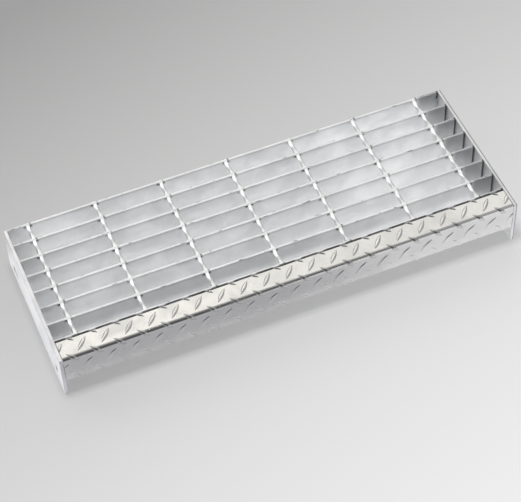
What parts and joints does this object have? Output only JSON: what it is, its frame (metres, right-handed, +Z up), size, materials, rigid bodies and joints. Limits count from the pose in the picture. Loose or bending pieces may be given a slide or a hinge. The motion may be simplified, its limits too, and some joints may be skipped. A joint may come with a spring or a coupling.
{
  "type": "metal stair tread",
  "caption": "Press-welded bar-grating stair tread with twisted cross rods, bolt-on end plates and a folded chequer-plate nosing.",
  "frame": {"origin": "on the floor under the middle of the tread, at the foot of the end plates", "axes": "+X along the step to the right as it is climbed, -Y towards the nosing and the person climbing, +Z up"},
  "size_m": [0.68, 0.25, 0.0765],
  "materials": {
    "galvanised_bar": "hot-dip galvanised, bright with soft grey mottling",
    "galvanised_rod": "hot-dip galvanised twisted wire, bright on its ridges",
    "galvanised_plate": "hot-dip galvanised, smooth and bright",
    "chequer_plate": "hot-dip galvanised rolled chequer plate",
    "weld_metal": "weld bead under the zinc coat"
  },
  "bodies": {
    "root": {"bearing_bar_1": "galvanised_bar", "bearing_bar_2": "galvanised_bar", "bearing_bar_3": "galvanised_bar", "bearing_bar_4": "galvanised_bar", "bearing_bar_5": "galvanised_bar", "bearing_bar_6": "galvanised_bar", "bearing_bar_7": "galvanised_bar", "bearing_bar_8": "galvanised_bar", "cross_rod_1": "galvanised_rod", "cross_rod_2": "galvanised_rod", "cross_rod_3": "galvanised_rod", "cross_rod_4": "galvanised_rod", "cross_rod_5": "galvanised_rod", "cross_rod_6": "galvanised_rod", "cross_rod_7": "galvanised_rod", "end_plate_left": "galvanised_plate", "end_plate_right": "galvanised_plate", "nosing": "chequer_plate", "end_welds_left": "weld_metal", "end_welds_right": "weld_metal", "nosing_welds": "weld_metal"}
  },
  "joints": []
}
